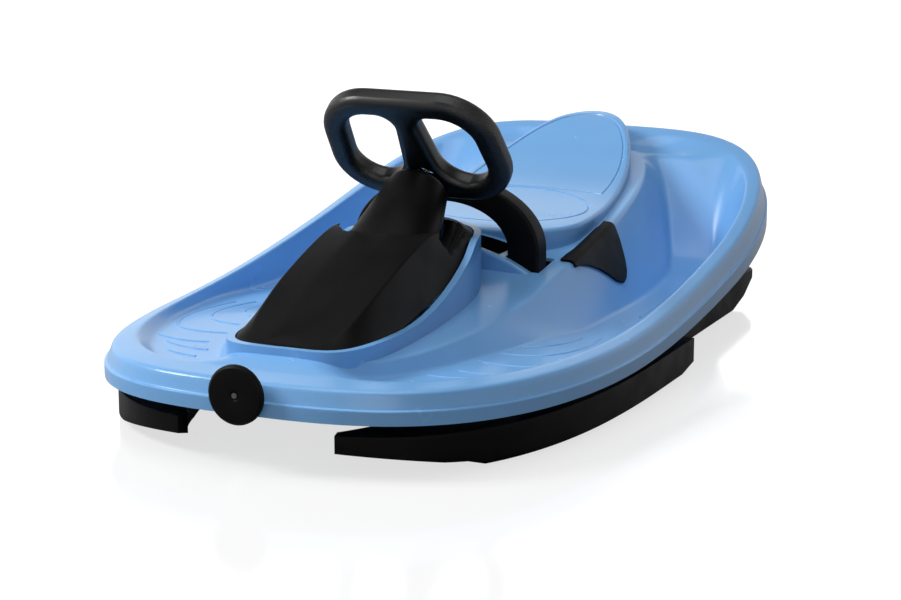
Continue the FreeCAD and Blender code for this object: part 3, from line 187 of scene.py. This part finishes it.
class Finish:
    """A material whose nodes are added one expression at a time."""

    def __init__(self, name):
        self.material = bpy.data.materials.new(name)
        self.material.use_nodes = True
        self.tree = self.material.node_tree
        self.shader = self.tree.nodes["Principled BSDF"]

    def node(self, kind, settings=None, inputs=None, output=0):
        made = self.tree.nodes.new(kind)
        for name, value in (settings or {}).items():
            setattr(made, name, value)
        for name, value in (inputs or {}).items():
            self.feed(made.inputs[name], value)
        return Value(self, made.outputs[output])

    def feed(self, socket, value):
        if isinstance(value, Value):
            self.tree.links.new(value.socket, socket)
        else:
            socket.default_value = value

    def set(self, **sockets):
        for name, value in sockets.items():
            self.feed(self.shader.inputs[name.replace("_", " ")], value)

    def place(self):
        return self.node("ShaderNodeTexCoord", output=3)

    def noise(self, size, detail=3.0, roughness=0.5, stretch=(1, 1, 1)):
        """Noise whose features are about a size in metres."""
        where = self.node("ShaderNodeMapping", {}, {"Vector": self.place(), "Scale": stretch})
        return self.node("ShaderNodeTexNoise", {}, {
            "Vector": where, "Scale": 1 / size, "Detail": detail, "Roughness": roughness,
        })

    def ramp(self, value, low, high):
        """0 below low, 1 above high, smooth between."""
        return self.node("ShaderNodeMapRange", {"interpolation_type": "SMOOTHSTEP"}, {
            "Value": value, "From Min": low, "From Max": high,
        })

    def mix(self, share, first, second):
        return self.node("ShaderNodeMix", {"data_type": "RGBA"}, {
            "Factor": share, 6: first, 7: second,
        }, output=2)

    def bump(self, height, depth):
        return self.node("ShaderNodeBump", {}, {"Height": height, "Strength": 1.0, "Distance": depth})


def linear(red, green, blue):
    """Scene colour of an 8-bit display colour."""
    def one(value):
        share = value / 255
        return share / 12.92 if share <= 0.04045 else ((share + 0.055) / 1.055) ** 2.4

    return (one(red), one(green), one(blue), 1.0)


def make_sled_blue():
    """Light blue moulded plastic: glossy, a little uneven, with rubbed and finely scratched places."""
    finish = Finish("sled_blue")
    cloud = finish.ramp(finish.noise(0.16, detail=2), 0.3, 0.7)
    colour = finish.mix(cloud, linear(112, 168, 222), linear(117, 172, 225))
    rub = finish.ramp(finish.noise(0.05, detail=4, roughness=0.6), 0.5, 0.8)
    scratch = finish.ramp(finish.noise(0.006, detail=4, stretch=(1, 0.1, 1)), 0.66, 0.74)
    peel = finish.noise(0.006, detail=2)
    finish.set(Base_Color=colour, Roughness=0.24 + 0.05 * rub + 0.012 * scratch)
    finish.set(Normal=finish.bump(peel, 0.00002), Specular_IOR_Level=0.45)
    return finish.material


def make_black_satin(name, grain, shade, roughness=0.42):
    """Black moulded plastic with a fine spark-eroded grain."""
    finish = Finish(name)
    cloud = finish.ramp(finish.noise(0.05, detail=4), 0.35, 0.7)
    colour = finish.mix(cloud, linear(*shade), linear(*(min(255, tone + 4) for tone in shade)))
    pebbles = finish.noise(0.0012, detail=2)
    finish.set(Base_Color=colour, Roughness=roughness + 0.1 * cloud, Normal=finish.bump(pebbles, grain))
    finish.set(Specular_IOR_Level=0.08)
    return finish.material


def make_wheel_grip():
    """Black plastic whose left and right hand holds carry a leather-like grain."""
    finish = Finish("grained_black")
    across = finish.node("ShaderNodeSeparateXYZ", {}, {"Vector": finish.place()}, output=0)
    held = finish.ramp(across.maths("ABSOLUTE"), 0.055, 0.085)
    pores = finish.node("ShaderNodeTexVoronoi", {"feature": "DISTANCE_TO_EDGE"}, {
        "Vector": finish.place(), "Scale": 320.0, "Randomness": 1.0})
    hide = finish.ramp(pores, 0.0, 0.25) * held
    fine = finish.noise(0.0011, detail=2)
    finish.set(Base_Color=finish.mix(hide, linear(7, 7, 8), linear(12, 12, 13)))
    finish.set(Roughness=0.36 + 0.08 * hide, Normal=finish.bump(hide + 0.3 * fine, 0.00022))
    finish.set(Specular_IOR_Level=0.4)
    return finish.material


def make_metal(name, shade, roughness, stretch):
    """Drawn or turned metal with fine lines along its working direction."""
    finish = Finish(name)
    lines = finish.noise(0.0012, detail=4, stretch=stretch)
    stain = finish.ramp(finish.noise(0.02, detail=3), 0.4, 0.8)
    dark = linear(*(tone * 0.8 for tone in shade))
    finish.set(Base_Color=finish.mix(stain, linear(*shade), dark), Metallic=1.0)
    finish.set(Roughness=roughness + 0.12 * lines, Normal=finish.bump(lines, 0.00002))
    return finish.material


def make_finishes():
    """The finish of every material slot."""
    return {
        "hull_blue": make_sled_blue(),
        "black_plastic": make_black_satin("black_satin", 0.00006, (5, 5, 6)),
        "dark_nylon": make_black_satin("dark_nylon", 0.00003, (46, 46, 48)),
        "steel": make_metal("drawn_steel", (165, 167, 170), 0.28, (1, 1, 0.05)),
        "brass_insert": make_metal("turned_brass", (196, 160, 92), 0.25, (1, 1, 8)),
        "mark_grey": make_black_satin("pale_mark", 0.00003, (92, 93, 95)),
    }


def select_only(piece):
    bpy.ops.object.select_all(action="DESELECT")
    piece.select_set(True)
    bpy.context.view_layer.objects.active = piece


def add_modifier(piece, kind, **settings):
    """Add a modifier and apply it at once."""
    modifier = piece.modifiers.new(kind.title(), kind)
    for name, value in settings.items():
        setattr(modifier, name, value)
    select_only(piece)
    bpy.ops.object.modifier_apply(modifier=modifier.name)


def merge_points(piece, distance):
    """Join points that lie together and drop what has no area."""
    select_only(piece)
    bpy.ops.object.mode_set(mode="EDIT")
    bpy.ops.mesh.select_all(action="SELECT")
    bpy.ops.mesh.remove_doubles(threshold=distance)
    bpy.ops.mesh.dissolve_degenerate(threshold=distance)
    bpy.ops.object.mode_set(mode="OBJECT")


def select_in(piece, kind, parts, chosen):
    """Open a piece in edit mode with only some of its parts selected, given by their numbers."""
    select_only(piece)
    bpy.ops.object.mode_set(mode="EDIT")
    bpy.ops.mesh.select_mode(type=kind)
    bpy.ops.mesh.select_all(action="DESELECT")
    bpy.ops.object.mode_set(mode="OBJECT")
    for index in chosen:
        getattr(piece.data, parts)[index].select = True
    bpy.ops.object.mode_set(mode="EDIT")


def select_points(piece, chosen):
    select_in(piece, "VERT", "vertices", chosen)


def select_faces(piece, chosen):
    select_in(piece, "FACE", "polygons", chosen)


def merged_copy(node, name):
    """A copy of a node's mesh with its loose triangles joined."""
    piece = bpy.data.objects.new(name, nodes[node].data.copy())
    bpy.context.scene.collection.objects.link(piece)
    select_only(piece)
    bpy.ops.mesh.customdata_custom_splitnormals_clear()
    merge_points(piece, MERGE_DISTANCE)
    return piece


def smooth(piece, degrees=35):
    """Shade smoothly over every edge that is flatter than an angle."""
    select_only(piece)
    bpy.ops.object.shade_smooth_by_angle(angle=math.radians(degrees))


def paint(piece, material):
    piece.data.materials.clear()
    piece.data.materials.append(material)


def stand_for(piece, node):
    """Let a finished piece take a node's place on the node's own body."""
    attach(piece, body_of_node[node])
    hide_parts(node)


def finish_piece(piece, node, material=None):
    """Smooth and paint a piece, and let it take its node's place."""
    smooth(piece)
    paint(piece, material or finishes[slot_of_node[node]])
    stand_for(piece, node)


def combine(piece, tool, operation):
    """Apply a boolean with a tool piece and throw the tool away."""
    add_modifier(piece, "BOOLEAN", operation=operation, object=tool, solver="EXACT")
    bpy.data.objects.remove(tool, do_unlink=True)


def join(piece, other):
    """Make another piece part of a piece."""
    select_only(piece)
    other.select_set(True)
    bpy.ops.object.join()


def dress_node(node, bevel=0.0):
    """A node's copy with soft edges and its finish."""
    piece = merged_copy(node, node + "_piece")
    if bevel:
        add_modifier(piece, "BEVEL", width=bevel * MM, segments=3, limit_method="ANGLE",
                     angle_limit=math.radians(BEVEL_ANGLE))
    finish_piece(piece, node)


def rounded_loop(corners, inset=0.0, steps=12):
    """Points round a closed outline whose corners (x, y, radius) are rounded, drawn in by an inset."""
    points = []
    for i, (x, y, radius) in enumerate(corners):
        corner = Vector((x, y))
        before = (Vector(corners[i - 1][:2]) - corner).normalized()
        after = (Vector(corners[(i + 1) % len(corners)][:2]) - corner).normalized()
        half = before.angle(after) / 2
        centre = corner + (before + after).normalized() * (radius / math.sin(half))
        first = corner + before * (radius / math.tan(half)) - centre
        last = corner + after * (radius / math.tan(half)) - centre
        turn = -first.angle_signed(last)
        arm = first * (1 - inset / radius)
        points += [centre + Matrix.Rotation(turn * step / steps, 2) @ arm for step in range(steps + 1)]
    return points


def curve_mesh(name, loops, closed=True, **settings):
    """A curve through points in millimetres, made into a mesh piece."""
    curve = bpy.data.curves.new(name, "CURVE")
    for setting, value in settings.items():
        setattr(curve, setting, value)
    for loop in loops:
        spline = curve.splines.new("POLY")
        spline.points.add(len(loop) - 1)
        spline.use_cyclic_u = closed
        for place, point in zip(spline.points, loop):
            place.co = (*(value * MM for value in point.to_3d()), 1)
    piece = bpy.data.objects.new(name, curve)
    bpy.context.scene.collection.objects.link(piece)
    select_only(piece)
    bpy.ops.object.convert(target="MESH")
    merge_points(piece, MERGE_DISTANCE)
    return piece


def wheel_window(side, inset=0.0):
    """One of the two openings beside the spoke."""
    half = WHEEL_HALF_WIDTH - WHEEL_THICK
    top = WHEEL_TOP + WHEEL_THICK
    foot = WHEEL_FOOT - WHEEL_THICK
    corners = [
        (SPOKE_TOP_HALF, top, SPOKE_TOP_FILLET),
        (half - WHEEL_TAPER, top, WHEEL_TOP_CORNER - WHEEL_THICK),
        (half, foot, WHEEL_FOOT_CORNER - WHEEL_THICK),
        (SPOKE_FOOT_HALF, foot, SPOKE_FOOT_FILLET),
    ]
    return rounded_loop([(side * x, y, radius) for x, y, radius in corners], -inset)


def wheel_outline(inset=0.0):
    """The wheel's outer edge, a little narrower at the top."""
    top_half = WHEEL_HALF_WIDTH - WHEEL_TAPER
    corners = [
        (-top_half, WHEEL_TOP, WHEEL_TOP_CORNER),
        (top_half, WHEEL_TOP, WHEEL_TOP_CORNER),
        (WHEEL_HALF_WIDTH, WHEEL_FOOT, WHEEL_FOOT_CORNER),
        (-WHEEL_HALF_WIDTH, WHEEL_FOOT, WHEEL_FOOT_CORNER),
    ]
    return rounded_loop(corners, inset)


def add_rounded_edge(mesh, outline, radius, half_thick, steps=7):
    """A band of faces over a plate's rounded edge; returns its lower and upper rim."""
    turns = [math.pi / 2 * (step / steps - 1) for step in range(steps + 1)]
    lower = [(radius * (1 - math.cos(turn)), radius * (1 + math.sin(turn)) - half_thick) for turn in turns]
    upper = [(inset, -height) for inset, height in reversed(lower)]
    rows = []
    for inset, height in lower + upper:
        rows.append([mesh.verts.new((point.x * MM, point.y * MM, height * MM)) for point in outline(inset)])
    for low, high in zip(rows, rows[1:]):
        for i in range(len(low)):
            mesh.faces.new((low[i - 1], low[i], high[i], high[i - 1]))
    return rows[0], rows[-1]


def fill_between(mesh, rims):
    """Close a flat face between an outline and the openings in it."""
    edges = [mesh.edges.get((rim[i - 1], rim[i])) for rim in rims for i in range(len(rim))]
    bmesh.ops.triangle_fill(mesh, use_beauty=True, use_dissolve=False, edges=edges)


def mesh_piece(name, mesh):
    """A scene piece of a bmesh, with its faces turned outwards."""
    bmesh.ops.recalc_face_normals(mesh, faces=mesh.faces)
    data = bpy.data.meshes.new(name)
    mesh.to_mesh(data)
    mesh.free()
    piece = bpy.data.objects.new(name, data)
    bpy.context.scene.collection.objects.link(piece)
    return piece


def column_cylinder(name, radius, low, high):
    """A cylinder along the column between two heights, millimetres."""
    length = (high - low) * MM
    bpy.ops.mesh.primitive_cylinder_add(vertices=CYLINDER_SIDES, radius=radius * MM, depth=length)
    piece = bpy.context.object
    piece.name = name
    piece.data.transform(COLUMN_FRAME @ Matrix.Translation((0, 0, (low + high) / 2 * MM)))
    return piece


def make_steering_wheel():
    """A flat rounded ring with one flaring spoke, set on the hub of the model's wheel."""
    mesh = bmesh.new()
    outlines = [wheel_outline, lambda inset: wheel_window(1, inset), lambda inset: wheel_window(-1, inset)]
    rims = [add_rounded_edge(mesh, outline, WHEEL_ROUNDING, WHEEL_THICK / 2) for outline in outlines]
    fill_between(mesh, [low for low, _ in rims])
    fill_between(mesh, [high for _, high in rims])
    wheel = mesh_piece("steering_wheel_piece", mesh)
    wheel.data.transform(COLUMN_FRAME @ Matrix.Translation((0, 0, WHEEL_OUT * MM)))
    combine(wheel, column_cylinder("hub_room", HUB_HOLE_RADIUS, HUB_HOLE_FOOT, HUB_HOLE_TOP), "DIFFERENCE")
    hub = merged_copy("steering_wheel", "wheel_hub")
    combine(hub, column_cylinder("hub_reach", HUB_RADIUS, HUB_FOOT, HUB_FACE), "INTERSECT")
    combine(wheel, hub, "UNION")
    finish_piece(wheel, "steering_wheel", make_wheel_grip())


def make_cover():
    """The cover, with the wall of its opening drawn down round the fairing."""
    cover = merged_copy("console_cover", "console_cover_piece")
    to_column = COLUMN_FRAME.inverted()
    height = {}
    for point in cover.data.vertices:
        place = to_column @ point.co / MM
        reach = math.hypot(place.x / COVER_HOLE_HALF_WIDTH, place.y / COVER_HOLE_HALF_DEPTH)
        if abs(reach - 1) < COVER_HOLE_TOLERANCE:
            height[point.index] = place.z
    lower = set()
    for edge in cover.data.edges:
        if all(index in height for index in edge.vertices):
            foot, head = sorted(edge.vertices, key=height.get)
            if height[head] - height[foot] > COVER_LEAST_WALL:
                lower.add(foot)
    select_points(cover, lower)
    bpy.ops.transform.translate(value=COLUMN_FRAME.to_3x3() @ Vector((0, 0, -COVER_FUNNEL * MM)))
    bpy.ops.object.mode_set(mode="OBJECT")
    finish_piece(cover, "console_cover")


def add_painted_shade_piece(piece):
    """Let a small black piece of painted shade ride the hull."""
    smooth(piece)
    # Black here is painted shade, not a trim part of the sled.
    paint(piece, finishes["black_plastic"])
    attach(piece, body_of_node["hull_shell"])


def make_slot_shade_screens():
    """Black walls under the ledge behind the slots that the bail's legs swing in: painted shade for the
    dark hollow behind them.
    """
    for side in (1, -1):
        middle = Vector(SCREEN_MIDDLE) * MM
        middle.x *= side
        bpy.ops.mesh.primitive_cube_add(size=1, location=middle)
        screen = bpy.context.object
        screen.name = "slot_shade_screen_left" if side > 0 else "slot_shade_screen_right"
        screen.scale = Vector(SCREEN_SIZE) * MM
        bpy.ops.object.transform_apply(location=True, rotation=True, scale=True)
        add_modifier(screen, "BEVEL", width=SCREEN_EDGE * MM, segments=3)
        # The black screen is painted shade, not a part of the sled.
        add_painted_shade_piece(screen)


def in_pocket(place):
    """Whether a place in millimetres lies in the room of the pocket."""
    return all(low < value < high for low, value, high in zip(POCKET_LOW, place, POCKET_HIGH))


def make_pocket_shade_sheet():
    """A thin black sheet on the floor and walls of the pocket under the bail: painted shade and painted
    dark reflection in the recess.
    """
    shade_lining = merged_copy("hull_shell", "pocket_shade_sheet")
    inside = {point.index for point in shade_lining.data.vertices if in_pocket(point.co / MM)}
    outside = [face.index for face in shade_lining.data.polygons if not inside.issuperset(face.vertices)]
    select_faces(shade_lining, outside)
    bpy.ops.mesh.delete(type="FACE")
    bpy.ops.object.mode_set(mode="OBJECT")
    add_modifier(shade_lining, "SOLIDIFY", thickness=POCKET_SHADE_THICK * MM, offset=1)
    # The black sheet is painted shade and dark reflection, not a part of the sled.
    add_painted_shade_piece(shade_lining)


def three_point_arc(start, middle, end, steps=32):
    """Points of the bow through three points, as a parabola in plan."""
    start, middle, end = Vector(start), Vector(middle), Vector(end)
    pull = 2 * middle - (start + end) / 2
    shares = [step / steps for step in range(steps + 1)]
    return [start * (1 - t) ** 2 + pull * 2 * t * (1 - t) + end * t ** 2 for t in shares]


def seat_pad_loop(steps=72):
    """An oval round the seat pad."""
    turns = [2 * math.pi * step / steps for step in range(steps)]
    return [Vector((SEAT_PAD["half_width"] * math.sin(turn),
                    SEAT_PAD["middle"] - SEAT_PAD["half_length"] * math.cos(turn))) for turn in turns]


def back_pad_loop(steps=32):
    """A leaf: wide at its foot, where it meets the seat pad, and narrow at the top."""
    power = BACK_PAD["power"]
    length = BACK_PAD["top"] - BACK_PAD["foot"]
    turns = [math.pi / 2 * step / steps for step in range(steps + 1)]
    right = [Vector((BACK_PAD["half_width"] * math.cos(turn) ** (2 / power),
                     BACK_PAD["foot"] + length * math.sin(turn) ** (2 / power))) for turn in turns]
    left = [Vector((-point.x, point.y)) for point in reversed(right[:-1])]
    foot = three_point_arc(left[-1], (0, BACK_PAD["foot"] + BACK_PAD["bow"]), right[0])
    return right + left + foot[1:-1]


def dropped(hull, points, lift, flattest=0.0):
    """Plan points in millimetres let down on the hull's upper skin: the longest run that is flat enough."""
    runs = [[]]
    for point in points:
        above = Vector((point.x, point.y, DROP_HEIGHT)) * MM
        hit, place, normal, _ = hull.ray_cast(above, Vector((0, 0, -1)))
        if hit and normal.z > flattest:
            runs[-1].append(place / MM + normal * lift)
        elif runs[-1]:
            runs.append([])
    return max(runs, key=len)


def wire_mesh(name, loops, radius, closed):
    """Round wires along points in millimetres."""
    return curve_mesh(name, loops, closed, dimensions="3D", bevel_depth=radius * MM, bevel_resolution=3,
                      use_fill_caps=True)


def bridge_rows(piece):
    """Close the band between rows of points and turn its faces outwards."""
    select_only(piece)
    bpy.ops.object.mode_set(mode="EDIT")
    bpy.ops.mesh.select_all(action="SELECT")
    bpy.ops.mesh.bridge_edge_loops()
    bpy.ops.mesh.select_all(action="SELECT")
    bpy.ops.mesh.normals_make_consistent(inside=False)
    bpy.ops.object.mode_set(mode="OBJECT")


def seat_foot_strip(hull):
    """A strip that carries the seat's rear wall down to the skin behind it."""
    upper = []
    lower = []
    for step in range(-STRIP_STEPS, STRIP_STEPS + 1):
        behind = Vector((STRIP_HALF_WIDTH * step / STRIP_STEPS, STRIP_BEHIND, STRIP_TOP)) * MM
        wall = hull.ray_cast(behind, Vector((0, -1, 0)))[1]
        skin = hull.ray_cast(wall + Vector((0, STRIP_CLEAR * MM, 0)), Vector((0, 0, -1)))[1]
        upper.append(wall / MM - Vector((0, STRIP_INSET, 0)))
        lower.append(Vector((*upper[-1].xy, skin.z / MM - STRIP_SINK)))
    strip = curve_mesh("seat_foot_strip", [upper, lower], closed=False, dimensions="3D")
    bridge_rows(strip)
    add_modifier(strip, "SOLIDIFY", thickness=STRIP_THICK * MM, offset=0)
    return strip


def make_hull():
    """The blue moulding with the grooves of its pads, the ribs of its footwells and the seat's foot."""
    hull = merged_copy("hull_shell", "hull_piece")
    pads = [dropped(hull, seat_pad_loop(), GROOVE_LIFT), dropped(hull, back_pad_loop(), GROOVE_LIFT)]
    ribs = []
    for side in (1, -1):
        for bow in [*FOOT_RIPPLES, HEEL_LINE]:
            arc = three_point_arc(*((side * x, y) for x, y in bow))
            ribs.append(dropped(hull, arc, -RIB_SINK, flattest=RIB_FLATTEST))
    added = [wire_mesh("foot_ribs", ribs, RIB_RADIUS, closed=False), seat_foot_strip(hull)]
    combine(hull, wire_mesh("pad_grooves", pads, GROOVE_RADIUS, closed=True), "DIFFERENCE")
    for piece in added:
        join(hull, piece)
    finish_piece(hull, "hull_shell")


def make_floor():
    """A pale floor like still ice: it mirrors the sled faintly and is white to the camera."""
    bpy.ops.mesh.primitive_plane_add(size=FLOOR_SIZE, location=(0, 0, FLOOR_HEIGHT))
    floor = bpy.context.object
    floor.name = "studio_floor"
    finish = Finish("white_floor")
    cloud = finish.noise(0.6, detail=2)
    finish.set(Base_Color=finish.mix(cloud, *FLOOR_SHADES), Roughness=0.11)
    seen = finish.node("ShaderNodeLightPath", output="Is Camera Ray")
    finish.set(Emission_Color=finish.mix(seen, BLACK, WHITE), Emission_Strength=FLOOR_LIFT)
    finish.set(Specular_IOR_Level=1.0)
    paint(floor, finish.material)


def make_backdrop():
    """A white wall far round the sled, seen by the camera and in mirrors only."""
    bpy.ops.mesh.primitive_cylinder_add(
        vertices=CYLINDER_SIDES, radius=BACKDROP_RADIUS, depth=BACKDROP_HEIGHT,
        end_fill_type="NOTHING", location=(0, 0, BACKDROP_HEIGHT / 2),
    )
    wall = bpy.context.object
    wall.name = "studio_backdrop"
    finish = Finish("white_wall")
    seen = finish.node("ShaderNodeLightPath", output="Is Camera Ray")
    mirrored = finish.node("ShaderNodeLightPath", output="Is Glossy Ray")
    share = (seen + mirrored).clamped()
    finish.set(Base_Color=BLACK, Roughness=1.0, Specular_IOR_Level=0.0)
    finish.set(Emission_Color=finish.mix(share, BLACK, WHITE), Emission_Strength=1.0)
    paint(wall, finish.material)


def make_world():
    """Even pale surroundings, white to the camera."""
    world = bpy.data.worlds.new("studio")
    bpy.context.scene.world = world
    world.use_nodes = True
    tree = world.node_tree
    tree.nodes["Background"].inputs["Color"].default_value = WORLD_TINT
    tree.nodes["Background"].inputs["Strength"].default_value = WORLD_LIGHT
    backdrop = tree.nodes.new("ShaderNodeBackground")
    path = tree.nodes.new("ShaderNodeLightPath")
    choice = tree.nodes.new("ShaderNodeMixShader")
    tree.links.new(path.outputs["Is Camera Ray"], choice.inputs[0])
    tree.links.new(tree.nodes["Background"].outputs[0], choice.inputs[1])
    tree.links.new(backdrop.outputs[0], choice.inputs[2])
    backdrop.inputs["Color"].default_value = WHITE
    tree.links.new(choice.outputs[0], tree.nodes["World Output"].inputs["Surface"])


def add_softbox(name, place, size, watts):
    """A square area lamp aimed at the sled."""
    lamp = bpy.data.lights.new(name, "AREA")
    lamp.size = size
    lamp.energy = watts
    holder = bpy.data.objects.new(name, lamp)
    holder.location = place
    holder.rotation_euler = (LIGHT_AIM - Vector(place)).to_track_quat("-Z", "Y").to_euler()
    bpy.context.scene.collection.objects.link(holder)


def make_camera():
    """The camera that the photograph was fitted with."""
    camera = bpy.data.cameras.new("photo_camera")
    camera.sensor_width = SENSOR_MM
    camera.sensor_fit = "HORIZONTAL"
    camera.lens = FOCAL_PX / IMAGE_WIDTH_PX * SENSOR_MM
    holder = bpy.data.objects.new("photo_camera", camera)
    holder.location = CAMERA_PLACE
    holder.rotation_euler = (CAMERA_AIM - CAMERA_PLACE).to_track_quat("-Z", "Y").to_euler()
    bpy.context.scene.collection.objects.link(holder)
    bpy.context.scene.camera = holder


finishes = make_finishes()
make_hull()
make_steering_wheel()
make_cover()
make_slot_shade_screens()
make_pocket_shade_sheet()
for node in nodes:
    if node not in MODELLED:
        dress_node(node, SOFT_EDGES.get(node.removesuffix("_left").removesuffix("_right"), 0))
make_floor()
make_backdrop()
make_world()
for name, settings in SOFTBOXES.items():
    add_softbox(name, **settings)
make_camera()
bpy.context.scene.view_settings.view_transform = "Standard"
